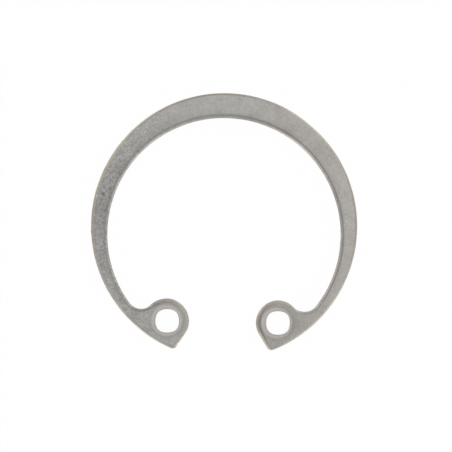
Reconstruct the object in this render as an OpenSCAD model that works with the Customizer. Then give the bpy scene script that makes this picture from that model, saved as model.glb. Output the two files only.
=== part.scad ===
// Internal retaining ring for a bore, stamped from spring steel sheet.
// The ring lies flat: +Z is its axis, the gap between its lugs faces -Y,
// and the origin is the centre of its outer edge at half its thickness.
// All sizes are in millimetres, for the ring as it lies free.

/* [Ring] */
// Outer diameter of the relaxed ring
free_d = 26.9; // [25:0.1:32]
// Thickness of the sheet
thickness = 1.2; // [1:0.05:1.75]
// Radial width of the band opposite the gap, its widest place
back_w = 2.5; // [1.9:0.05:3.2]
// Radial width to which the band would taper in the middle of the gap
end_w = 0.8; // [0.6:0.05:1.4]

/* [Lugs] */
// Radial height of each lug, in from the outer edge
lug_h = 4.5; // [4:0.1:5.2]
// Radius of the round head of each lug
lug_r = 2.25; // [1.9:0.05:2.5]
// Angle from the middle of the gap to the middle of each lug head
lug_angle = 30.2; // [25:0.2:38]
// Angle between the straight end of each lug and the centre line of the gap
end_angle = 32; // [24:1:40]
// Radius of the corner where the straight end meets the outer edge
tip_r = 0.5; // [0.3:0.05:0.6]
// Radius of the hollow between each lug head and the band
neck_r = 1.5; // [1:0.05:2]

/* [Plier holes] */
// Diameter of the hole in each lug
hole_d = 2.45; // [2:0.05:2.8]
// Rounding at the mouths of the holes
hole_edge_r = 0.15; // [0.05:0.01:0.25]

/* [Edges] */
// Rounding that stamping and tumbling leave along the outline
edge_r = 0.2; // [0.05:0.01:0.25]

/* [Hidden] */
$fn = 180;
// Steps in which each rounded edge turns from the face to the wall
edge_steps = 3;
// How far the cutting shapes run past what they cut
past = 1;
// How far a cut crosses the edges that it leads on to, so that it meets them cleanly
bite = 0.002;

outer_r = free_d / 2;
inner_r = outer_r - (back_w + end_w) / 2;
// The inner edge is a circle set towards the gap, which tapers the band
inner_c = [0, -(back_w - end_w) / 2];
// A radius that lies clear of the ring all round
clear_r = outer_r * 1.3;

// Middle of the lug head and of its hole, on the +X side of the gap
lug_c = (outer_r - lug_h + lug_r) * [sin(lug_angle), -cos(lug_angle)];

// The straight end runs outwards along end_dir from the lug head, facing the gap along end_face
end_dir = [sin(end_angle), -cos(end_angle)];
end_face = [-cos(end_angle), -sin(end_angle)];
end_start = lug_c + (lug_r - bite) * end_face;

// The tip circle touches the straight end and, from inside, the outer edge
tip_line = end_start - (tip_r - bite) * end_face;
tip_c = tip_line + reach(tip_line, end_dir, outer_r - tip_r + bite) * end_dir;

// The neck circle touches the lug head and, from inside, the inner edge
neck_c = meet(inner_c, inner_r - neck_r + bite, lug_c, lug_r + neck_r - bite);

// Unit vector along v
function unit(v) = v / norm(v);

// Distance along the unit vector d from p to the circle of radius r about the origin
function reach(p, d, r) = -(p * d) + sqrt((p * d) ^ 2 - p * p + r ^ 2);

// Where the circle of radius ra about a meets that of radius rb about b, left of the way from a to b
function meet(a, ra, b, rb) =
    let (d = norm(b - a), u = unit(b - a), along = (d ^ 2 + ra ^ 2 - rb ^ 2) / (2 * d))
    a + along * u + sqrt(ra ^ 2 - along ^ 2) * [-u.y, u.x];

// Points up the sheet's rounded edge, which faces side * X and reaches x
function rim(x, edge, side) =
    let (lower = [for (i = [0:edge_steps])
        let (turn = 90 * i / edge_steps)
        [x - side * edge * (1 - sin(turn)), -thickness / 2 + edge * (1 - cos(turn))]])
    concat(lower, [for (i = [edge_steps:-1:0]) [lower[i].x, -lower[i].y]]);

// The sheet's section from x = 0 to a rounded edge at x = w
module sheet_section(w, edge) {
    polygon(concat([[0, -thickness / 2]], rim(w, edge, 1), [[0, thickness / 2]]));
}

// The space from x = 0 to the sheet's rounded edge at x = w, which faces -X
module space_section(w, edge) {
    far_x = w + edge;
    far_y = thickness / 2 + past;
    polygon(concat([[0, -far_y], [far_x, -far_y]], rim(w, edge, -1), [[far_x, far_y], [0, far_y]]));
}

// Disc of the sheet with a rounded rim
module sheet_disc(r, edge) {
    rotate_extrude() sheet_section(r, edge);
}

// What a round opening with rounded mouths takes out of the sheet
module opening_tool(r, edge) {
    rotate_extrude() space_section(r, edge);
}

// What the straight end of the lug takes off, all along the line that it lies on
module end_tool() {
    translate(end_start + lug_r * end_face)
        rotate(end_angle)
            rotate([90, 0, 0])
                linear_extrude(clear_r, center = true) space_section(lug_r, edge_r);
}

// What rounds off the corner between the straight end and the outer edge
module tip_tool() {
    linear_extrude(thickness + 2 * past, center = true)
        difference() {
            polygon([tip_c, tip_c + past * end_face, tip_c + past * (end_face + unit(tip_c)),
                tip_c + past * unit(tip_c)]);
            translate(tip_c) circle(tip_r);
        }
}

// The band with its tapering inner edge, ending inside each lug and not yet round outside
module band() {
    gap_side = 2 * clear_r * unit(lug_c + neck_c);
    difference() {
        cylinder(h = thickness, r = clear_r, center = true);
        translate(inner_c) opening_tool(inner_r, edge_r);
        linear_extrude(thickness + 2 * past, center = true)
            polygon([[0, 0], gap_side, [-gap_side.x, gap_side.y]]);
    }
}

// Lug on the +X side of the gap: a round head with a straight end, its neck not yet hollowed
module lug() {
    end_side = end_start + past * end_face;
    difference() {
        union() {
            translate(lug_c) sheet_disc(lug_r, edge_r);
            linear_extrude(thickness, center = true)
                polygon([lug_c, end_side, end_side + lug_h * end_dir,
                    inner_c + clear_r * unit(neck_c - inner_c), neck_c]);
        }
        end_tool();
    }
}

module retaining_ring() {
    color("darkgray")
        difference() {
            intersection() {
                sheet_disc(outer_r, edge_r);
                union() {
                    band();
                    lug();
                    mirror([1, 0, 0]) lug();
                }
            }
            for (side = [0, 1])
                mirror([side, 0, 0]) {
                    translate(neck_c) opening_tool(neck_r, edge_r);
                    tip_tool();
                    translate(lug_c) opening_tool(hole_d / 2, hole_edge_r);
                }
        }
}

retaining_ring();
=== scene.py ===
import math
import random

import bpy
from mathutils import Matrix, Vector, geometry, kdtree, noise


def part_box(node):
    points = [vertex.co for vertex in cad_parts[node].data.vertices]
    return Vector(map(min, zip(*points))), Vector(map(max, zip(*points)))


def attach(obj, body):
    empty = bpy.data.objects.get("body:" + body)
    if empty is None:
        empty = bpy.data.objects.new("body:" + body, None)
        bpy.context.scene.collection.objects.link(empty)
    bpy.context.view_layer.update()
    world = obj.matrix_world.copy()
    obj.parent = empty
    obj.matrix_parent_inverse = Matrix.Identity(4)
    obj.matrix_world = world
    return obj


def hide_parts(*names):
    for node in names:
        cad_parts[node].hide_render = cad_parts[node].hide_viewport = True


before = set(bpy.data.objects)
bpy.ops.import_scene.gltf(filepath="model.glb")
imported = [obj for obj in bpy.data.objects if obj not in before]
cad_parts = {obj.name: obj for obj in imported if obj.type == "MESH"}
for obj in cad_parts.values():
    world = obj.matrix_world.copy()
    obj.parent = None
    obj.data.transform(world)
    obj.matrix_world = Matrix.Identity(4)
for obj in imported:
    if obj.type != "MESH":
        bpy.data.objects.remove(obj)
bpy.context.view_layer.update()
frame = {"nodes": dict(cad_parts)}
print("frame loaded:", ", ".join(frame["nodes"]))

mm = 0.001
ringLow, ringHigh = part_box("retaining_ring")
halfSheet = ringHigh.z / mm

# The relaxed ring's outline, in mm and degrees
ring = {
    "freeD": 26.9,                     # across the outer edge, which is round about the origin
    "backW": 2.5,                      # width of the band opposite the gap
    "endW": 0.8,                       # width that it would taper to in the gap
    "lugH": 4.5,
    "lugR": 2.25,
    "lugAngle": 30.2,
    "endAngle": 32,
    "tipR": 0.5,
    "neckR": 1.5,
    "holeD": 2.45,
    "holeSquare": 0.03,                # the punch was worn a little square
    "holeAside": {1: (-0.01, 0), -1: (0.045, 0.01)},   # and hit a little aside, by the lug's side of X
    "spacing": 0.12,                   # between points along the outline
    "finestTurn": 7,                   # most that a curve turns from point to point
    "wobble": 0.012,                   # unevenness of the cut edge
    "wobbleSize": 1.3,
}

outerR = ring["freeD"] / 2

innerC = Vector((0, -(ring["backW"] - ring["endW"]) / 2))
innerR = outerR - (ring["backW"] + ring["endW"]) / 2


def along(degrees):                    # unit vector, turned from +X
    return Vector((math.cos(math.radians(degrees)), math.sin(math.radians(degrees))))


def angleOf(v):
    return math.degrees(math.atan2(v.y, v.x))


# Where two circles meet, left of the way from the first centre to the second
def meeting(a, ra, b, rb):
    d = (b - a).length
    u = (b - a) / d
    share = (d * d + ra * ra - rb * rb) / (2 * d)
    return a + share * u + math.sqrt(ra * ra - share * share) * Vector((-u.y, u.x))


lugC = (outerR - ring["lugH"] + ring["lugR"]) * along(ring["lugAngle"] - 90)
endDir = along(ring["endAngle"] - 90)
endFace = along(ring["endAngle"] + 180)
tipLine = lugC + (ring["lugR"] - ring["tipR"]) * endFace
beside = tipLine.dot(endDir)
tipC = tipLine + endDir * (
    math.sqrt(beside ** 2 - tipLine.length_squared + (outerR - ring["tipR"]) ** 2) - beside)
neckC = meeting(innerC, innerR - ring["neckR"], lugC, ring["lugR"] + ring["neckR"])


# Points along an arc, as (place, way out of the metal, name of the stretch); side is -1 where it is hollow
def arc(name, centre, radius, start, end, side=1):
    turn = abs(end - start)
    count = math.ceil(max(turn / ring["finestTurn"], math.radians(turn) * radius / ring["spacing"]))
    outs = [along(start + (end - start) * i / count) for i in range(count + 1)]
    return [(centre + radius * out, side * out, name) for out in outs]


def straight(name, start, end, out):
    count = math.ceil((end - start).length / ring["spacing"])
    return [(start.lerp(end, i / count), out, name) for i in range(count + 1)]


# The +X half of the outline, from the inner edge at the back round the lug to the outer edge at the back
def halfOutline():
    neckTurn = angleOf(neckC - innerC)
    stretches = [
        arc("inner", innerC, innerR, 90, neckTurn, -1),
        arc("neck", neckC, ring["neckR"], neckTurn, angleOf(lugC - neckC), -1),
        arc("head", lugC, ring["lugR"], angleOf(neckC - lugC), ring["endAngle"] + 180),
        straight("end", lugC + ring["lugR"] * endFace, tipC + ring["tipR"] * endFace, endFace),
        arc("tip", tipC, ring["tipR"], ring["endAngle"] + 180, angleOf(tipC) + 360),
        arc("outer", Vector((0, 0)), outerR, angleOf(tipC), 90),
    ]
    points = stretches[0]
    for stretch in stretches[1:]:
        points += stretch[1:]          # a stretch starts where the last one ended
    return points


def mirrored(points):
    flip = Vector((-1, 1))
    return [(place * flip, out * flip, name) for place, out, name in reversed(points)]


def holeOutline(centre):
    centre = centre + Vector(ring["holeAside"][1 if centre.x > 0 else -1])
    points = arc("hole", centre, ring["holeD"] / 2, 360, 0, -1)[:-1]
    return [(place + out * ring["holeSquare"] * math.cos(4 * math.atan2(out.y, out.x)), out, name)
            for place, out, name in points]


# How each stretch of the outline rolls over towards the upper face: its width and depth, the shares of the
# painted shade on its shoulder, of the painted brown shade on its lip and of its warm polish, how much
# sooner that polish starts, and how much its lip is painted brighter, a painted highlight that is painted
# shade below zero
plainRoll = {"width": 0, "depth": 0, "paintedShoulderShade": 0, "paintedLipShade": 0, "warm": 0, "early": 0, "paintedLipLight": 0}
edgeRoll = {
    "inner": {"width": 0.44, "depth": 0.16, "paintedShoulderShade": 0.45, "warm": 0.2},
    "neck": {"width": 0.3608, "depth": 0.15, "paintedShoulderShade": 0.135, "warm": 0.25},
    "head": {"width": 0.6, "depth": 0.24, "paintedShoulderShade": 0.66, "paintedLipShade": 0.1, "warm": 0.45, "paintedLipLight": 0.12},
    "end": {"width": 0.55, "depth": 0.22, "paintedShoulderShade": 0.6, "paintedLipShade": 0.2, "warm": 0.45, "paintedLipLight": 0.18},
    "tip": {"width": 0.35, "depth": 0.18, "paintedShoulderShade": 0.2, "paintedLipShade": 0.2, "warm": 0.4, "early": 0.4,
            "paintedLipLight": 0.14},
    "outer": {"width": 0.26, "depth": 0.1, "paintedShoulderShade": 0.1, "paintedLipShade": 0.4, "warm": 0.8, "paintedLipLight": 0.02},
    "hole": {"width": 0.13, "depth": 0.03, "warm": 0.3, "paintedLipLight": 0.03},
}
# What is different on the lug and neck at the -X side
leftRoll = {
    "neck": {"width": 0.2992, "paintedShoulderShade": 0.72, "paintedLipShade": 0.24, "paintedLipLight": -0.12},
    "head": {"early": 0.2, "paintedLipLight": 0.06},
    "end": {"early": 0.6},
}
# What is added round the ring, as (value, how much, turns). The turns, in degrees from the back of the ring
# towards +X, are where it starts, is full, starts to fade and is gone
roundRing = {
    "inner": [
        ("width", 0.044, (-95, -55, 35, 75)),
        ("width", -0.0528, (5, 35, 180, 190)),
        ("width", -0.0616, (102, 120, 180, 190)),
        ("width", -0.03, (20, 40, 40, 60)),
        ("paintedShoulderShade", 0.0675, (0, 20, 180, 190)),
        ("paintedShoulderShade", 0.2925, (95, 115, 180, 190)),
        ("paintedLipLight", 0.18, (16, 40, 40, 64)),
        ("paintedLipLight", -0.05, (-190, -180, -105, -85)),
        ("paintedLipLight", -0.05, (-50, 0, 180, 190)),
        ("paintedLipLight", -0.035, (50, 80, 180, 190)),
    ],
    "outer": [
        ("paintedLipShade", -0.12, (40, 80, 180, 190)),
        ("warm", -0.32, (70, 115, 180, 190)),
        ("warm", -0.32, (-190, -180, -115, -70)),
        ("paintedLipLight", 0.04, (-70, -40, -40, -10)),
        ("paintedLipLight", -0.04, (10, 40, 40, 70)),
    ],
}
# How it changes round a lug with the way out of the metal, as shares of the values above. Three values
# together are the change and where it starts and is full
lugRoll = {
    "depth": 0.68,                     # where it faces +Y or -Y
    "depthX": -0.36,                   # deepest where it faces -X
    "paintedShoulderShade": 0.5,
    "paintedShoulderShadeX": -0.5,                     # and its painted shade is darkest there
    "paintedShoulderShadeY": -0.12,                    # a little darker facing -Y on the lug at +X, +Y on the other
    "flatTop": 0.45,                   # the lug at +X is shallower where it faces +Y
    "paleTop": (0.8, 0.5, 0.95),       # and the painted shade on its shoulder fades there
    "lessLipLightUnder": (0.07, -0.2, -0.6),   # its head's lip gets less painted highlight where it faces -Y
    "lessLipLightEnd": (0.2, 0.8, 2.8),        # and so does its straight end's, by the distance from the tip in mm
    "narrowEnd": (1.9, 0.6),           # mm from the tip over which either end gets as narrow as the tip
}
# How the outer edge's painted highlight and painted shade swing round the ring
outerEdge = {
    "swings": 2,
    "paintedLipLight": -0.03,                     # how much the painted highlight brightens the lip and, in turn, the painted shade darkens it
    "lipShadeTurn": 10,                   # degrees by which the swing of the lip's painted shade runs ahead
}
# The outer edge's roll-over on the -X side, which is wider and flatter, with a patchy painted highlight on
# its lip
leftEdge = {
    "reach": (0.4, 0.85),              # where it starts and is full, as shares of the ring's radius
    "width": 0.12,
    "depth": -0.5,
    "paintedLipLight": 0.05,
    "paintedLipLightSwing": 0.2,
    "paintedLipLightPatches": 0.08,
    "warmPatches": 0.4,
    "patchSize": 0.5,
}
shoulderGrain = (0.5, 0.3)             # how patchy the painted shade on the inner edge's shoulder is, and the patches' size
blendPoints = 5                        # either way, over which one stretch's roll-over becomes the next's
layers = {"flat": 0, "shoulder": 3, "peel": 5, "outer": 9}     # each is an uneven pattern of its own
# Where across the roll-over each look starts and is full, from 0 at the face to 1 at the lip, and how much
# sooner both are where it comes early
comesIn = {
    "paintedLipShade": ((0, 0.6), (0, 0)),
    "warm": ((0.55, 0.95), (0.45, 0.5)),
    "paintedLipLight": ((0.5, 1), (0.3, 0.3)),
}
shoulderAt = (0, 0.3, 0.4, 0.85)       # where the painted shade on the shoulder starts, is full, fades and is gone
toneAndShadeGone = (0.5, 1)                    # where the face's tone and painted shade give way to the lip's

# The sheet's section from the upper face over the edge to the lower face
section = {
    "rollRows": 9,
    "shoulder": 0.25,                  # how gently the roll-over starts: 0 is a crease
    "round": 0.5,                      # share of its depth that curves down like an ellipse
    "lip": 0.07,                       # width of the tight curve between roll-over and wall
    "lipRows": 4,
    "wallRows": 8,
    "burnished": 0.4,                  # share of the wall that the punch left smooth
    "change": 0.12,                    # share either way over which it turns to torn
    "ragged": 0.1,                     # how much that line wanders
    "raggedSize": 0.65,
    "tear": 0.03,                      # how far the torn part of the wall stands back
    "tearNoise": 0.022,                # and how uneven that part is
    "tearSize": (0.22, 0.22, 0.16),
    "reliefLost": 0.7,                 # share of the face's relief that is gone at the lip
    "underR": 0.12,
    "underRows": 4,
}


def smoothStep(low, high, x):
    t = min(1, max(0, (x - low) / (high - low)))
    return t * t * (3 - 2 * t)


def compass(x, y):                     # degrees from the back of the ring, towards +X
    return math.degrees(math.atan2(x, y))


# Rises from start to full and fades from last to gone; 0 outside them and 1 between
def swell(x, start, full, last, gone):
    return smoothStep(start, full, x) * smoothStep(gone, last, x)


def leftShare(x):
    return smoothStep(*leftEdge["reach"], -x / outerR)


def nearerTip(x):                      # middle of the tip's corner on the nearer lug
    return Vector((math.copysign(tipC.x, x), tipC.y))


def patches(x, y, layer, size):        # from about -1 to 1, in patches of a size in mm
    return noise.noise(Vector((x, y, layers[layer])) / size)


# The roll-over at one point of the outline
def rollAt(place, out, name):
    onRight = place.x > 0
    roll = {**plainRoll, **edgeRoll[name]}
    if not onRight:
        roll.update(leftRoll.get(name, {}))
    turn = compass(place.x, place.y)
    for value, change, turns in roundRing.get(name, []):
        roll[value] += change * swell(turn, *turns)
    if name in ("inner", "neck"):
        share, size = shoulderGrain
        roll["paintedShoulderShade"] *= 1 + share * patches(place.x, place.y, "shoulder", size)
    if name in ("head", "end"):
        roll["depth"] *= lugRoll["depth"] + lugRoll["depthX"] * out.x
        aside = lugRoll["paintedShoulderShadeY"] * (out.y if onRight else -out.y)
        roll["paintedShoulderShade"] *= max(0, lugRoll["paintedShoulderShade"] + lugRoll["paintedShoulderShadeX"] * out.x + aside)
        if onRight:
            share, start, full = lugRoll["paleTop"]
            roll["depth"] *= 1 - lugRoll["flatTop"] * max(0, out.y)
            roll["paintedShoulderShade"] *= 1 - share * smoothStep(start, full, out.y)
    if name == "head" and onRight:
        change, start, full = lugRoll["lessLipLightUnder"]
        roll["paintedLipLight"] -= change * smoothStep(start, full, out.y)
    if name == "end":
        fromTip = (place - nearerTip(place.x)).length
        narrow = smoothStep(*lugRoll["narrowEnd"], fromTip)
        roll["width"] += (edgeRoll["tip"]["width"] - roll["width"]) * narrow
        if onRight:
            change, start, full = lugRoll["lessLipLightEnd"]
            roll["paintedLipLight"] -= change * smoothStep(start, full, fromTip)
    if name == "outer":
        left = leftShare(place.x)
        swing = math.radians(outerEdge["swings"] * turn)
        patchy = patches(place.x, place.y, "outer", leftEdge["patchSize"])
        roll["early"] = left
        roll["width"] += leftEdge["width"] * left
        roll["depth"] *= 1 + leftEdge["depth"] * left
        roll["paintedShoulderShade"] *= 1 - left
        roll["paintedLipShade"] *= (1 - left) * math.cos(swing + math.radians(outerEdge["lipShadeTurn"])) ** 2
        roll["warm"] += leftEdge["warmPatches"] * left * patchy
        roll["paintedLipLight"] += outerEdge["paintedLipLight"] * math.sin(swing)
        roll["paintedLipLight"] += left * (leftEdge["paintedLipLight"] + leftEdge["paintedLipLightSwing"] * abs(math.sin(swing))
                                + leftEdge["paintedLipLightPatches"] * patchy)
    return roll


# The roll-over all along an outline, with each value evened out over its neighbours
def rollsAlong(points):
    rolls = [rollAt(*p) for p in points]
    count = len(rolls)
    window = range(-blendPoints, blendPoints + 1)
    return [{value: sum(rolls[(i + k) % count][value] for k in window) / len(window) for value in plainRoll}
            for i in range(count)]


# How much of a look shows at one place across the roll-over
def lookShare(name, rolled, roll):
    (start, full), (startSooner, fullSooner) = comesIn[name]
    early = rolled["early"]
    return rolled[name] * smoothStep(start - startSooner * early, full - fullSooner * early, roll)


# Rows down the edge, as (inset, height, share of the roll-over, share of the way down the wall)
def edgeRows(width, depth):
    k = section["shoulder"]
    full = math.hypot(1, k) - k
    fullest = 0.85                     # share of the ellipse's width that is used
    fullestCurve = 1 - math.sqrt(1 - fullest ** 2)
    run = width - section["lip"]
    rows = []
    for i in range(section["rollRows"]):
        u = i / section["rollRows"]
        slide = (math.hypot(u, k) - k) / full
        curve = 1 - math.sqrt(1 - (u * fullest) ** 2)
        drop = depth * (slide + (curve / fullestCurve - slide) * section["round"])
        rows.append((width - run * u, halfSheet - drop, u, 0))
    steep = (1 - section["round"]) / (math.hypot(1, k) * full)
    steep += section["round"] * fullest ** 2 / math.sqrt(1 - fullest ** 2) / fullestCurve
    slope = math.atan(depth / run * steep)
    lipR = section["lip"] / (1 - math.sin(slope))
    for i in range(section["lipRows"] + 1):
        turn = slope + (math.pi / 2 - slope) * i / section["lipRows"]
        drop = depth + lipR * (math.cos(slope) - math.cos(turn))
        rows.append((lipR * (1 - math.sin(turn)), halfSheet - drop, 1, 0))
    wallTop = rows[-1][1]
    wallEnd = section["underR"] - halfSheet
    for i in range(1, section["wallRows"] + 1):
        v = i / section["wallRows"]
        rows.append((0, wallTop + (wallEnd - wallTop) * v, 1, v))
    for i in range(1, section["underRows"] + 1):
        turn = math.pi / 2 * i / section["underRows"]
        rows.append((section["underR"] * (1 - math.cos(turn)),
                     wallEnd - section["underR"] * math.sin(turn), 1 - i / section["underRows"], 1))
    return rows


lastRollRow = section["rollRows"] + section["lipRows"]
lastWallRow = lastRollRow + section["wallRows"]

# Marks on the upper face
relief = {
    "waveSize": 3.2,
    "wave": 0.004,
    "peelSize": 0.42,                  # tumbling leaves a fine orange peel
    "peel": 0.0025,
    "roughArm": -1.0,                  # the arm on this side of X is more pitted
    "roughReach": (0.25, 1.0),         # where that starts and is full, as shares of the ring's radius
    "roughGain": 1.6,
    "coinR": 1.42,                     # a ring round each hole is pressed flat, and given a painted sheen
    "coinAside": {1: (-0.13, 0.02), -1: (0.04, 0.1)},      # and lies off the hole, by the lug's side of X
    "coinStep": 0.33,
    "coin": 0.05,
    "grooveR": 1.74,                   # and ends in a ring of painted shade, as in a groove
    "grooveSides": {1: 2, -1: 1},      # on how many sides that painted shade is darkest
    "grooveShadeShare": {1: 0.58, -1: 0.5},
    "grooveSwing": 0.25,
    "grooveTurn": 60,
    "grooveW": 0.14,
    "dents": 150,
    "smoothDents": 0.35,               # share of the dents tried that the smoother side keeps
    "dentR": (0.08, 0.22),
    "dent": (0.004, 0.014),
    "dentReach": 2.2,                  # how far out dents are felt, in radii of the largest
    "seed": 7,
}
# Pits that stand out, as (x, y, radius, depth)
pits = [
    (-12.35, 3.08, 0.14, 0.05),
    (-12.21, 2.96, 0.13, 0.05),
    (-11.62, 2.75, 0.12, 0.04),
    (-12.06, 1.42, 0.12, 0.03),
    (-11.59, 3.64, 0.10, 0.02),
    (-11.70, 1.21, 0.10, 0.02),
    (-13.10, 0.38, 0.08, 0.02),
]
# Where the cut edge stands back, or out if the last value is below zero, as (x, y, radius, depth)
nicks = [
    (-13.42, -0.73, 0.08, -0.06),
    (-11.46, -6.97, 0.10, 0.03),
    (-4.42, -11.98, 0.45, 0.045),
    (5.63, -7.43, 1.0, -0.03),
    (-6.76, -7.73, 1.0, -0.04),
    (7.35, -8.20, 0.6, 0.03),
    (-7.20, -8.06, 0.4, -0.03),
    (-5.30, -7.45, 0.5, -0.03),
    (-5.40, -10.88, 0.6, -0.03),
    (8.65, 10.30, 2.2, 0.05),
    (3.50, 5.50, 6.5, -0.035),
]
# Thin painted glints or, below zero, dark scuffs, as (x, y, half length, half width, degrees, share)
scuffsAndGlints = [
    (-0.53, 12.79, 0.26, 0.07, 0, -0.3),
    (12.38, 0.75, 0.14, 0.06, -45, 0.4),
    (12.70, 0.85, 0.12, 0.06, -45, 0.3),
    (12.33, 1.17, 0.12, 0.06, -45, 0.25),
    (12.57, 0.07, 0.14, 0.07, 30, 0.35),
    (-12.90, 2.80, 0.08, 0.07, 0, 1.0),
    (-12.10, -4.82, 0.08, 0.06, 60, 0.8),
    (-13.11, 0.89, 0.07, 0.06, 0, 0.7),
    (-3.47, -9.70, 0.35, 0.09, 90, -0.3),
    (5.17, -11.33, 0.12, 0.09, 0, -0.22),
    (5.75, -11.25, 0.13, 0.08, 20, -0.16),
    (4.74, -11.11, 0.12, 0.08, 60, -0.2),
    (6.33, -10.94, 0.14, 0.09, 30, -0.16),
    (5.41, -11.90, 0.13, 0.08, 20, -0.12),
]


def roughShare(x, y):
    return smoothStep(*relief["roughReach"], relief["roughArm"] * x / outerR)


def scatterDents():
    draw = random.Random(relief["seed"])
    found = list(pits)
    while len(found) < relief["dents"]:
        angle = draw.uniform(0, 360)
        place = draw.uniform(innerR - 1, outerR) * along(angle)
        size = draw.uniform(*relief["dentR"])
        depth = draw.uniform(*relief["dent"])
        kept = relief["smoothDents"] + (1 - relief["smoothDents"]) * roughShare(place.x, place.y)
        if draw.random() < kept:
            found.append((place.x, place.y, size, depth))
    return found


def dentTree(dents):
    tree = kdtree.KDTree(len(dents))
    for i, (x, y, _, _) in enumerate(dents):
        tree.insert((x, y, 0), i)
    tree.balance()
    return tree


dents = scatterDents()
dentPlaces = dentTree(dents)


def fromCoin(x, y):                    # from the middle of the pressed ring on the nearer lug
    side = 1 if x > 0 else -1
    aside = relief["coinAside"][side]
    return Vector((x - side * lugC.x - aside[0], y - lugC.y - aside[1]))


def coinShare(x, y):                   # 1 on the pressed ring round a hole, 0 away from it
    return 1 - smoothStep(relief["coinR"], relief["coinR"] + relief["coinStep"], fromCoin(x, y).length)


# Up to 1 in the middle of the painted groove shade round that ring
def grooveShadeShare(x, y):
    gap = fromCoin(x, y)
    side = 1 if x > 0 else -1
    turn = relief["grooveSides"][side] * angleOf(gap) + relief["grooveTurn"]
    share = relief["grooveShadeShare"][side] + relief["grooveSwing"] * math.cos(math.radians(turn))
    return share * math.exp(-((gap.length - relief["grooveR"]) / relief["grooveW"]) ** 2)


def pitShare(x, y):                    # 1 in the middle of each pit that stands out
    return max(math.exp(-((x - px) ** 2 + (y - py) ** 2) / size ** 2) for px, py, size, _ in pits)


def scuffAndGlintShare(x, y):                  # above 0 in painted glints, below 0 in dark scuffs
    total = 0
    for sx, sy, halfLength, halfWidth, degrees, share in scuffsAndGlints:
        way = along(degrees)
        ahead = ((x - sx) * way.x + (y - sy) * way.y) / halfLength
        aside = ((x - sx) * way.y - (y - sy) * way.x) / halfWidth
        total += share * math.exp(-ahead ** 2 - aside ** 2)
    return total


# How much darker the face is by place, as shares of its brightness
darkerFace = {
    # painted shade: the arm at -X, where less light falls, is darker
    "shadedArm": 0.25,
    "shadedArmTurns": (-140, -90, -95, 7),    # from the back of the ring, as in roundRing
    "armEnds": 0.08,
    "armEndTurns": (100, 150),         # either way
    "innerEdge": 0.06,
    "innerEdgeBack": 0.06,
    "backTurns": (-95, -55, 35, 75),
    "edgeWidth": 0.45,                 # mm from the inner edge
    "edgeReach": 0.3,                  # how far in from there that fades
}
# Blotches that stand out, darker or, below zero, brighter, as (x, y, radius, share); those near (-8.7, -9)
# carry the painted shade beside the neck's roll-over further in
blotches = [
    (6.5, 10.0, 1.8, 0.08),
    (10.1, -7.7, 2.0, -0.05),
    (-10.1, 7.9, 1.5, -0.05),
    (-8.55, -8.75, 0.5, 0.10),
    (-8.9, -9.6, 0.45, 0.12),
    (-12.75, 0.15, 0.5, 0.10),
    (-11.6, 1.85, 0.35, -0.06),
    (-7.7, 9.2, 0.55, 0.10),
    (-12.35, -3.6, 0.5, -0.09),
    (-12.55, 2.1, 0.35, -0.08),
    (-6.5, -11.5, 0.4, -0.07),
    (-8.5, 7.6, 0.4, -0.06),
    (-6.3, 11.4, 0.4, 0.09),
    (-9.8, -7.8, 0.5, 0.06),
    (-11.95, -0.85, 0.35, -0.08),
    (10.4, -6.7, 0.4, 0.12),
    (4.2, 10.3, 0.45, 0.10),
    (12.9, 3.2, 0.4, -0.04),
    (-9.4, 9.25, 0.45, -0.05),
    (-7.1, -11.2, 0.4, -0.05),
    (-3.7, -9.7, 0.6, -0.06),
    (-4.1, -8.6, 0.5, -0.05),
    (-6.8, -10.8, 0.35, -0.04),
    (5.4, -7.75, 0.35, -0.05),
    (-8.7, -8.8, 0.35, 0.05),
    (11.25, -5.3, 0.5, 0.05),
    (6.2, 10.9, 0.8, -0.035),
    (8.1, 9.4, 0.6, 0.04),
    (11.2, 5.5, 0.8, 0.04),
]


# The face's tone, with the painted shade of the arm at -X
def toneAndShadeAt(x, y):
    turn = compass(x, y)
    fromEdge = (Vector((x, y)) - innerC).length - innerR
    nearEdge = math.exp(-max(0, fromEdge - darkerFace["edgeWidth"]) / darkerFace["edgeReach"])
    toneAndShade = 1 - darkerFace["shadedArm"] * swell(turn, *darkerFace["shadedArmTurns"])
    toneAndShade -= darkerFace["armEnds"] * smoothStep(*darkerFace["armEndTurns"], abs(turn))
    toneAndShade -= nearEdge * (darkerFace["innerEdge"] + darkerFace["innerEdgeBack"] * swell(turn, *darkerFace["backTurns"]))
    return toneAndShade - sum(share * math.exp(-((x - px) ** 2 + (y - py) ** 2) / size ** 2)
                      for px, py, size, share in blotches)


def faceDrop(x, y):                    # how far the finish lies below the true face
    rough = 1 + relief["roughGain"] * roughShare(x, y)
    wave = relief["wave"] * (0.5 + 0.5 * patches(x, y, "flat", relief["waveSize"]))
    peel = relief["peel"] * rough * (0.5 + 0.5 * patches(x, y, "peel", relief["peelSize"]))
    drop = wave + peel + relief["coin"] * coinShare(x, y)
    for _, i, gap in dentPlaces.find_range((x, y, 0), relief["dentReach"] * relief["dentR"][1]):
        size, depth = dents[i][2:]
        drop += depth * math.exp(-(gap / size) ** 2)
    return drop


# What each point of the mesh carries for the materials: first what only the edges have, then the rest
edgeMarks = ("roll", "torn", "shoulder", "paintedLipShade", "warm", "paintedLipLight")
faceMarks = ("coinedSheen", "grooveShade", "pitted", "scuffedAndGlinting", "toneAndShade")
marks = edgeMarks + faceMarks


def marksAt(x, y):
    return coinShare(x, y), grooveShadeShare(x, y), pitShare(x, y), scuffAndGlintShare(x, y), toneAndShadeAt(x, y)


def inMetres(x, y, z):
    return (x * mm, y * mm, z * mm)


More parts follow.
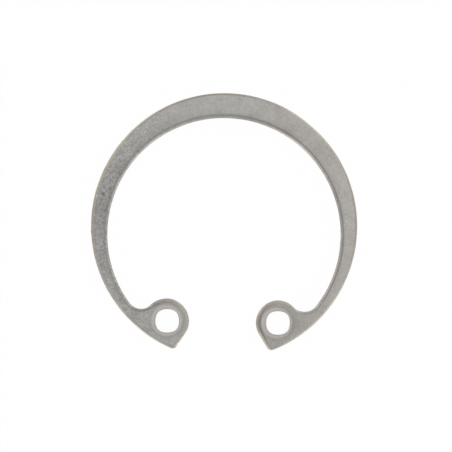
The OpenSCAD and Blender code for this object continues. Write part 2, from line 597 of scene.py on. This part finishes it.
# One closed outline, with its rows of points from the upper face to the lower
def rimOf(points):
    columns = []
    for (place, out, _), rolled in zip(points, rollsAlong(points)):
        uneven = ring["wobble"] * patches(place.x, place.y, "flat", ring["wobbleSize"])
        uneven += sum(deep * math.exp(-((place.x - x) ** 2 + (place.y - y) ** 2) / size ** 2)
                      for x, y, size, deep in nicks)
        column = []
        ragged = section["ragged"] * patches(place.x, place.y, "flat", section["raggedSize"])
        for inset, z, roll, down in edgeRows(rolled["width"], rolled["depth"]):
            past = down + ragged - section["burnished"]
            torn = smoothStep(-section["change"], section["change"], past)
            sizeX, sizeY, sizeZ = section["tearSize"]
            crumbs = noise.noise(Vector((place.x / sizeX, place.y / sizeY, z / sizeZ)))
            back = torn * (section["tear"] + section["tearNoise"] * crumbs)
            at = place - (inset + uneven + back) * out
            if z > 0:
                z -= faceDrop(at.x, at.y) * (1 - section["reliefLost"] * roll)
            # painted shade where the roll-over starts
            shoulder = rolled["paintedShoulderShade"] * swell(roll, *shoulderAt)
            # painted shade and painted highlight on the lip, and its warm polish
            looks = [lookShare(name, rolled, roll) for name in ("paintedLipShade", "warm", "paintedLipLight")]
            *others, toneAndShade = marksAt(at.x, at.y)
            toneAndShade += (1 - toneAndShade) * smoothStep(*toneAndShadeGone, roll)
            column.append((at.x, at.y, z, roll, torn, shoulder, *looks, *others, toneAndShade))
        columns.append(column)
    return columns


# Steps between the points on each face, the share of a step that they keep clear of the rims, and the
# distance within which two points are one
fineness = {"upper": 0.085, "lower": 0.17, "clear": 0.62, "same": 1e-7}


# Points inside the rims, in rows like a honeycomb, no nearer to them than most of a step
def fieldPoints(borders, step):
    rimTree = kdtree.KDTree(sum(len(b) for b in borders))
    outs = []
    for border in borders:
        for x, y, out in border:
            rimTree.insert((x, y, 0), len(outs))
            outs.append(out)
    rimTree.balance()

    def inside(x, y, clear):
        near, i, gap = rimTree.find((x, y, 0))
        return gap > clear and (x - near.x) * outs[i].x + (y - near.y) * outs[i].y < 0

    points = []
    rowStep = step * math.sqrt(3) / 2
    for row in range(int(-outerR / rowStep), int(outerR / rowStep) + 1):
        y = row * rowStep
        for column in range(int(-outerR / step), int(outerR / step) + 1):
            x = (column + 0.5 * (row % 2)) * step
            if inside(x, y, fineness["clear"] * step):
                points.append(Vector((x, y)))
    return points


# Fills the space between the rims' first or last row with triangles
def fillFace(vertices, faces, borders, step, height, upwards):
    ids = [i for border in borders for i in border["ids"]]
    flat = [Vector(vertices[i][:2]) for i in ids]
    loops = []
    first = 0
    for border in borders:
        count = len(border["ids"])
        loop = list(range(first, first + count))
        loops.append(loop if not loops else loop[::-1])
        first += count
    outlines = [[(vertices[i][0], vertices[i][1], out) for i, out in zip(b["ids"], b["outs"])]
                for b in borders]
    field = fieldPoints(outlines, step)
    made, _, triangles, origins, _, within = geometry.delaunay_2d_cdt(
        flat + field, [], loops, 0, fineness["same"])
    known = []
    for p, origin in zip(made, origins):
        if origin and origin[0] < len(ids):
            known.append(ids[origin[0]])
        else:
            known.append(len(vertices))
            vertices.append((p.x, p.y, height(p.x, p.y)) + (0,) * len(edgeMarks) + marksAt(p.x, p.y))
    for triangle, holders in zip(triangles, within):
        if set(holders) == {0}:        # inside the outline and in neither hole
            corners = [known[i] for i in triangle]
            faces.append(corners if upwards else corners[::-1])


def buildRing():
    half = halfOutline()
    outline = half + mirrored(half)[1:-1]
    leftC = Vector((-lugC.x, lugC.y))
    loops = [outline, holeOutline(lugC), holeOutline(leftC)]
    vertices = []
    faces = []
    slots = []                         # 0 is the face's steel, 1 the wall's
    top = []
    bottom = []
    for points in loops:
        columns = rimOf(points)
        rows = len(columns[0])
        first = len(vertices)
        for column in columns:
            vertices += column
        count = len(columns)
        for i in range(count):
            a = first + i * rows
            b = first + (i + 1) % count * rows
            for row in range(rows - 1):
                faces.append([a + row, a + row + 1, b + row + 1, b + row])
                slots.append(1 if lastRollRow <= row < lastWallRow else 0)
        outs = [out for _, out, _ in points]
        top.append({"ids": [first + i * rows for i in range(count)], "outs": outs})
        bottom.append({"ids": [first + i * rows + rows - 1 for i in range(count)], "outs": outs})
    fillFace(vertices, faces, top, fineness["upper"], lambda x, y: halfSheet - faceDrop(x, y), True)
    fillFace(vertices, faces, bottom, fineness["lower"], lambda x, y: -halfSheet, False)
    slots += [0] * (len(faces) - len(slots))

    mesh = bpy.data.meshes.new("retainingRing")
    mesh.from_pydata([inMetres(*v[:3]) for v in vertices], [], faces)
    mesh.polygons.foreach_set("material_index", slots)
    mesh.polygons.foreach_set("use_smooth", [True] * len(faces))
    for column, name in enumerate(marks, 3):
        mesh.attributes.new(name, "FLOAT", "POINT").data.foreach_set("value", [v[column] for v in vertices])
    mesh.update()
    piece = bpy.data.objects.new("retainingRing", mesh)
    bpy.context.scene.collection.objects.link(piece)
    triangles = sum(len(f) - 2 for f in faces)
    print("ring built:", len(vertices), "points,", triangles, "triangles")
    return piece


# Adds a shader node; a value may be a number, a colour or another node's socket
def addNode(tree, kind, inputs=None, **settings):
    node = tree.nodes.new("ShaderNode" + kind)
    for name, value in settings.items():
        setattr(node, name, value)
    for name, value in (inputs or {}).items():
        if isinstance(value, bpy.types.NodeSocket):
            tree.links.new(value, node.inputs[name])
        else:
            node.inputs[name].default_value = value
    return node


def math2(tree, operation, a, b):
    return addNode(tree, "Math", {0: a, 1: b}, operation=operation).outputs[0]


def times(tree, a, b):
    return math2(tree, "MULTIPLY", a, b)


def mapped(tree, value, low, high, toLow=0.0, toHigh=1.0, smooth=True):
    kind = "SMOOTHSTEP" if smooth else "LINEAR"
    ends = {"Value": value, "From Min": low, "From Max": high, "To Min": toLow, "To Max": toHigh}
    return addNode(tree, "MapRange", ends, interpolation_type=kind).outputs[0]


# A colour or vector times a number
def scaled(tree, value, factor):
    return addNode(tree, "VectorMath", {0: value, "Scale": factor}, operation="SCALE").outputs[0]


def mixed(tree, share, a, b):
    return addNode(tree, "Mix", {0: share, 6: a, 7: b}, data_type="RGBA").outputs[2]


def newGroup(name, inputs, outputs):
    tree = bpy.data.node_groups.new(name, "ShaderNodeTree")
    for socketName, value in inputs.items():
        kind = "NodeSocketVector" if value is None else "NodeSocketFloat"
        socket = tree.interface.new_socket(socketName, in_out="INPUT", socket_type=kind)
        if value is not None:
            socket.default_value = value
    for socketName in outputs:
        tree.interface.new_socket(socketName, in_out="OUTPUT", socket_type="NodeSocketFloat")
    start = tree.nodes.new("NodeGroupInput")
    end = tree.nodes.new("NodeGroupOutput")
    return tree, start.outputs, end.inputs


# Cloudy shade about 1, of a given grain size in mm and strength
def makeClouds():
    tree, given, made = newGroup("tumbledClouds", {"Place": None, "Size": 1.0, "Strength": 0.1},
                                 ["Shade", "Raw"])
    scale = math2(tree, "DIVIDE", 1.0, given["Size"])
    cloud = addNode(tree, "TexNoise", {"Vector": given["Place"], "Scale": scale, "Detail": 4.0,
                                       "Roughness": 0.6}).outputs[0]
    usual = (0.3, 0.7)                 # between which the noise mostly lies
    centred = mapped(tree, cloud, *usual, -1.0, 1.0, smooth=False)
    change = times(tree, centred, given["Strength"])
    tree.links.new(math2(tree, "ADD", change, 1.0), made["Shade"])
    tree.links.new(cloud, made["Raw"])
    return tree


# How high the pits and the scratches stand in their noise, how softly they start, how much lower a share
# of 1 sets that level, and how far scratches are drawn out
marksInNoise = {
    "pits": (0.78, 0.12),
    "scratches": (0.85, 0.1),
    "perShare": 0.3,
    "drawnOut": (0.35, 9.0, 1.0),
}


# 1 where the noise stands above its level
def maskOf(tree, name, spots, share):
    level, soft = marksInNoise[name]
    low = math2(tree, "SUBTRACT", level, times(tree, share, marksInNoise["perShare"]))
    return mapped(tree, spots, low, math2(tree, "ADD", low, soft))


# Small pits, as a mask that is 1 in the middle of each
def makePits():
    tree, given, made = newGroup("tumbledPits", {"Place": None, "Size": 0.3, "Share": 0.2}, ["Mask"])
    scale = math2(tree, "DIVIDE", 1.0, given["Size"])
    spots = addNode(tree, "TexNoise", {"Vector": given["Place"], "Scale": scale, "Detail": 1.0}).outputs[0]
    tree.links.new(maskOf(tree, "pits", spots, given["Share"]), made["Mask"])
    return tree


# Long fine scratches across the face
def makeScratches():
    tree, given, made = newGroup("fineScratches", {"Place": None, "Angle": 0.0, "Share": 0.2}, ["Mask"])
    turned = addNode(tree, "VectorRotate", {"Vector": given["Place"], "Angle": given["Angle"]},
                     rotation_type="Z_AXIS").outputs[0]
    stretched = addNode(tree, "VectorMath", {0: turned, 1: marksInNoise["drawnOut"]},
                        operation="MULTIPLY").outputs[0]
    lines = addNode(tree, "TexNoise", {"Vector": stretched, "Scale": 1.0, "Detail": 0.0}).outputs[0]
    tree.links.new(maskOf(tree, "scratches", lines, given["Share"]), made["Mask"])
    return tree


groups = {"clouds": makeClouds(), "pits": makePits(), "scratches": makeScratches()}


def useGroup(tree, name, inputs):
    node = tree.nodes.new("ShaderNodeGroup")
    node.node_tree = groups[name]
    for socketName, value in inputs.items():
        if isinstance(value, bpy.types.NodeSocket):
            tree.links.new(value, node.inputs[socketName])
        else:
            node.inputs[socketName].default_value = value
    return node.outputs


def newMaterial(name):
    material = bpy.data.materials.new(name)
    material.use_nodes = True
    tree = material.node_tree
    shader = tree.nodes["Principled BSDF"]
    shader.inputs["Metallic"].default_value = 1.0
    local = addNode(tree, "TexCoord").outputs["Object"]
    return material, tree, shader, scaled(tree, local, 1 / mm)


# Bare steel faces after tumbling, in linear colour
faceSteel = {
    "bright": (0.447, 0.441, 0.418, 1),
    "rough": (0.445, 0.438, 0.425, 1),  # on the more pitted arm
    "bare": (0.444, 0.427, 0.402, 1),  # on the other arm
    "pit": (0.16, 0.155, 0.145, 1),
    "warm": (0.43, 0.38, 0.315, 1),    # rounded edges, polished by the tumbling
    "shoulder": (0.25, 0.24, 0.225, 1),    # painted shade where the roll-over starts and in the groove round each pressed ring
    # painted sheen on the pressed ring round each hole
    "coinedSheen": (0.543, 0.507, 0.482, 1),
    "coinedSheenShare": 0.7,
    "grooveShadeShare": 0.5,
    # painted glints, where scratches catch the light
    "paintedGlint": (0.75, 0.74, 0.72, 1),
    "pittedShare": 0.9,
    # painted brown shade on the lip
    "paintedLipShade": (0.23, 0.185, 0.135, 1),
    "roughFrom": -0.15,                # where across the ring the pitted arm's finish starts
    "bareFull": 0.5,
    # Grain size in mm, and strength on the smoother side and on the pitted arm
    "clouds": (1.4, 0.09, 0.14),
    "mottle": (0.3, 0.1, 0.29),
    "grain": (0.15, 0.08, 0.18),
    "pits": (0.3, 0.1, 0.45),
    "pitShade": 0.5,
    "scratches": [(0.9, 0.35), (2.3, 0.3)],    # angle in radians, and share
    "shineless": 0.42,
    "dullMottle": 0.12,
    "shinyWarm": 0.1,
    "bump": 0.35,
    "bumpDepth": 0.012,
    "mottleHeight": 0.8,
    "grainHeight": 0.4,
    "pitHeight": -0.5,
    "scratchHeight": -0.12,
    "calmEdge": (0.2, 0.8, 1.0, 0.2),  # the bumps fade between the first two shares of the roll-over
}


# A texture of the face whose strength changes towards the pitted arm
def faceTexture(tree, group, name, place, roughArm, strength):
    size, smooth, rough = faceSteel[name]
    return useGroup(tree, group, {"Place": place, "Size": size,
                                  strength: mapped(tree, roughArm, 0, 1, smooth, rough)})


def makeFaceMaterial():
    material, tree, shader, place = newMaterial("tumbledFace")
    mark = {name: addNode(tree, "Attribute", attribute_name=name).outputs["Fac"] for name in marks}
    acrossX = addNode(tree, "SeparateXYZ", {0: place}).outputs["X"]
    roughArm = mapped(tree, acrossX, faceSteel["roughFrom"] * outerR, -outerR)
    bareArm = mapped(tree, acrossX, 0.0, faceSteel["bareFull"] * outerR)

    colour = mixed(tree, roughArm, faceSteel["bright"], faceSteel["rough"])
    colour = mixed(tree, bareArm, colour, faceSteel["bare"])
    clouds = faceTexture(tree, "clouds", "clouds", place, roughArm, "Strength")
    mottle = faceTexture(tree, "clouds", "mottle", place, roughArm, "Strength")
    grain = faceTexture(tree, "clouds", "grain", place, roughArm, "Strength")
    shade = times(tree, times(tree, clouds["Shade"], mottle["Shade"]), grain["Shade"])
    # the face's tone, with painted shade on the arm at -X
    colour = scaled(tree, colour, times(tree, shade, mark["toneAndShade"]))

    pitMask = faceTexture(tree, "pits", "pits", place, roughArm, "Share")["Mask"]
    colour = mixed(tree, times(tree, pitMask, faceSteel["pitShade"]), colour, faceSteel["pit"])
    scratch = 0.0
    for angle, share in faceSteel["scratches"]:
        mask = useGroup(tree, "scratches", {"Place": place, "Angle": angle, "Share": share})["Mask"]
        scratch = math2(tree, "MAXIMUM", scratch, mask)

    # painted sheen on the pressed ring round each hole
    coinedSheen = times(tree, mark["coinedSheen"], faceSteel["coinedSheenShare"])
    colour = mixed(tree, coinedSheen, colour, faceSteel["coinedSheen"])
    # how much painted shade the groove round each pressed ring gets
    grooveShade = times(tree, mark["grooveShade"], faceSteel["grooveShadeShare"])
    # painted shade on the roll-over's shoulder and in the groove round each pressed ring
    colour = mixed(tree, math2(tree, "MAXIMUM", mark["shoulder"], grooveShade), colour, faceSteel["shoulder"])
    pitted = times(tree, mark["pitted"], faceSteel["pittedShare"])
    pitted = math2(tree, "MAXIMUM", pitted, times(tree, mark["scuffedAndGlinting"], -1.0))
    colour = mixed(tree, pitted, colour, faceSteel["pit"])
    colour = mixed(tree, mark["warm"], colour, faceSteel["warm"])
    # painted brown shade on the lip
    colour = mixed(tree, mark["paintedLipShade"], colour, faceSteel["paintedLipShade"])
    # painted glints, where scratches catch the light
    colour = mixed(tree, math2(tree, "MAXIMUM", mark["scuffedAndGlinting"], 0.0), colour, faceSteel["paintedGlint"])
    # painted highlight on the lip, which below zero is painted shade
    colour = scaled(tree, colour, math2(tree, "ADD", mark["paintedLipLight"], 1.0))
    tree.links.new(colour, shader.inputs["Base Color"])

    rough = math2(tree, "ADD", faceSteel["shineless"], times(tree, mottle["Raw"], faceSteel["dullMottle"]))
    rough = math2(tree, "SUBTRACT", rough, times(tree, mark["warm"], faceSteel["shinyWarm"]))
    tree.links.new(rough, shader.inputs["Roughness"])

    height = times(tree, mottle["Raw"], faceSteel["mottleHeight"])
    for bumps, name in ((grain["Raw"], "grainHeight"), (pitMask, "pitHeight"), (scratch, "scratchHeight")):
        height = math2(tree, "ADD", height, times(tree, bumps, faceSteel[name]))
    height = times(tree, height, mapped(tree, mark["roll"], *faceSteel["calmEdge"]))
    bump = addNode(tree, "Bump", {"Strength": faceSteel["bump"], "Distance": faceSteel["bumpDepth"] * mm,
                                  "Height": height}).outputs[0]
    tree.links.new(bump, shader.inputs["Normal"])
    return material


# The punched wall: burnished with fine upright lines above, torn and dull below
wallSteel = {
    "burnished": (0.44, 0.415, 0.385, 1),
    "torn": (0.33, 0.31, 0.28, 1),
    "lines": (7.0, 7.0, 0.5),          # how fine the upright lines are, per mm
    "drawn": 0.14,                     # and how strong
    "crumbSize": 0.16,
    "crumbs": 0.2,
    "shineless": (0.33, 0.58),         # burnished and torn
    "bump": 0.6,
    "bumpDepth": 0.015,
}


def makeWallMaterial():
    material, tree, shader, place = newMaterial("shearedWall")
    torn = addNode(tree, "Attribute", attribute_name="torn").outputs["Fac"]
    lines = addNode(tree, "VectorMath", {0: place, 1: wallSteel["lines"]}, operation="MULTIPLY").outputs[0]
    drawn = useGroup(tree, "clouds", {"Place": lines, "Size": 1.0, "Strength": wallSteel["drawn"]})
    crumbs = useGroup(tree, "clouds", {"Place": place, "Size": wallSteel["crumbSize"],
                                       "Strength": wallSteel["crumbs"]})
    shade = addNode(tree, "Mix", {0: torn, 2: drawn["Shade"], 3: crumbs["Shade"]}).outputs[0]
    colour = mixed(tree, torn, wallSteel["burnished"], wallSteel["torn"])
    tree.links.new(scaled(tree, colour, shade), shader.inputs["Base Color"])
    tree.links.new(mapped(tree, torn, 0, 1, *wallSteel["shineless"]), shader.inputs["Roughness"])
    height = addNode(tree, "Mix", {0: torn, 2: drawn["Raw"], 3: crumbs["Raw"]}).outputs[0]
    bump = addNode(tree, "Bump", {"Strength": wallSteel["bump"], "Distance": wallSteel["bumpDepth"] * mm,
                                  "Height": height}).outputs[0]
    tree.links.new(bump, shader.inputs["Normal"])
    return material


retainingRing = buildRing()
retainingRing.data.materials.append(makeFaceMaterial())
retainingRing.data.materials.append(makeWallMaterial())
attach(retainingRing, "root")
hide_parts("retaining_ring")
print("steel finished")

# The table under the ring and the room round it
studio = {
    "floorSize": 1.2,                  # m
    "floorGap": 0.002,                 # mm under the ring
    "floor": (0.95, 0.95, 0.95, 1),
    "shownLight": 0.98,                # share of the floor's white that no shadow dims
    "shown": 1.0,
    "corners": [(50, 0.12), (147, 0.13), (226, 0.13), (315, 0.13)],   # way from the ring, and power
    "cornerDistance": 0.3,
    "cornerSize": 0.16,
    "cornerHeight": 0.06,
    "cornerColour": (1.0, 0.93, 0.84),
    "room": [(0.0, 0.95), (0.35, 0.75), (0.77, 0.66), (0.94, 1.0), (1.0, 1.13)],   # height and light
    "side": (0.4, 0.15),               # how much more light comes from +X and +Y, high above them
}


def makeFloor():
    mesh = bpy.data.meshes.new("floor")
    s = studio["floorSize"] / 2
    z = ringLow.z - studio["floorGap"] * mm
    mesh.from_pydata([(-s, -s, z), (s, -s, z), (s, s, z), (-s, s, z)], [], [(0, 1, 2, 3)])
    floor = bpy.data.objects.new("floor", mesh)
    bpy.context.scene.collection.objects.link(floor)
    material = bpy.data.materials.new("paleFloor")
    material.use_nodes = True
    tree = material.node_tree
    tree.nodes.clear()
    ray = addNode(tree, "LightPath").outputs
    seen = math2(tree, "MAXIMUM", math2(tree, "MAXIMUM", ray["Is Camera Ray"], ray["Is Glossy Ray"]),
                 ray["Is Transmission Ray"])
    share = times(tree, seen, studio["shownLight"])
    matt = addNode(tree, "BsdfDiffuse", {"Color": studio["floor"]}).outputs[0]
    white = addNode(tree, "Emission", {"Color": (1, 1, 1, 1), "Strength": studio["shown"]}).outputs[0]
    both = addNode(tree, "MixShader", {0: share, 1: matt, 2: white}).outputs[0]
    addNode(tree, "OutputMaterial", {"Surface": both})
    mesh.materials.append(material)


def makeRoom():
    world = bpy.data.worlds.new("studio")
    bpy.context.scene.world = world
    world.use_nodes = True
    tree = world.node_tree
    tree.nodes.clear()
    heading = addNode(tree, "TexCoord").outputs["Generated"]
    up = addNode(tree, "SeparateXYZ", {0: heading}).outputs["Z"]
    ramp = tree.nodes.new("ShaderNodeValToRGB")
    tree.links.new(up, ramp.inputs[0])
    stops = ramp.color_ramp.elements
    while len(stops) < len(studio["room"]):
        stops.new(0.5)
    for stop, (at, light) in zip(stops, studio["room"]):
        stop.position = at
        stop.color = (light, light, light, 1)
    aside = addNode(tree, "VectorMath", {0: heading, 1: (*studio["side"], 0)},
                    operation="DOT_PRODUCT").outputs[1]
    light = scaled(tree, ramp.outputs[0], math2(tree, "ADD", times(tree, aside, up), 1.0))
    ray = addNode(tree, "LightPath").outputs
    white = mixed(tree, ray["Is Camera Ray"], light, (1, 1, 1, 1))
    background = addNode(tree, "Background", {"Color": white, "Strength": 1.0}).outputs[0]
    addNode(tree, "OutputWorld", {"Surface": background})


def addLamp(name, place, size, power, colour):
    lamp = bpy.data.lights.new(name, "AREA")
    lamp.size = size
    lamp.energy = power
    lamp.color = colour
    obj = bpy.data.objects.new(name, lamp)
    obj.location = place
    obj.rotation_euler = (-Vector(place)).to_track_quat("-Z", "Y").to_euler()
    bpy.context.scene.collection.objects.link(obj)


makeFloor()
makeRoom()
for turn, power in studio["corners"]:
    flat = studio["cornerDistance"] * along(turn)
    addLamp(f"corner{turn}", (flat.x, flat.y, studio["cornerHeight"]), studio["cornerSize"],
            power, studio["cornerColour"])
print("studio lit")

# Straight above the ring; the image is taken to be square, with places in its pixels
view = {
    "image": 452,
    "ringAt": (224.13, 226.25),        # the ring's centre in the image
    "ringR": 133.19,                   # and the radius of its outer edge
    "height": 227,                     # mm above the ring
    "turn": 1.0,                       # degrees about the line of sight
    "sensor": 36,
}


def makeCamera():
    data = bpy.data.cameras.new("camera")
    data.sensor_width = view["sensor"]
    perMm = view["ringR"] / outerR
    data.lens = view["sensor"] * view["height"] * perMm / view["image"]
    camera = bpy.data.objects.new("camera", data)
    right = along(view["turn"])
    up = Vector((-right.y, right.x))
    aside = (view["image"] / 2 - view["ringAt"][0]) / perMm
    below = (view["image"] / 2 - view["ringAt"][1]) / perMm
    place = aside * right - below * up
    camera.location = inMetres(place.x, place.y, view["height"] + halfSheet)
    camera.rotation_euler = (0, 0, math.radians(view["turn"]))
    bpy.context.scene.collection.objects.link(camera)
    bpy.context.scene.camera = camera


makeCamera()
bpy.context.scene.view_settings.view_transform = "Standard"
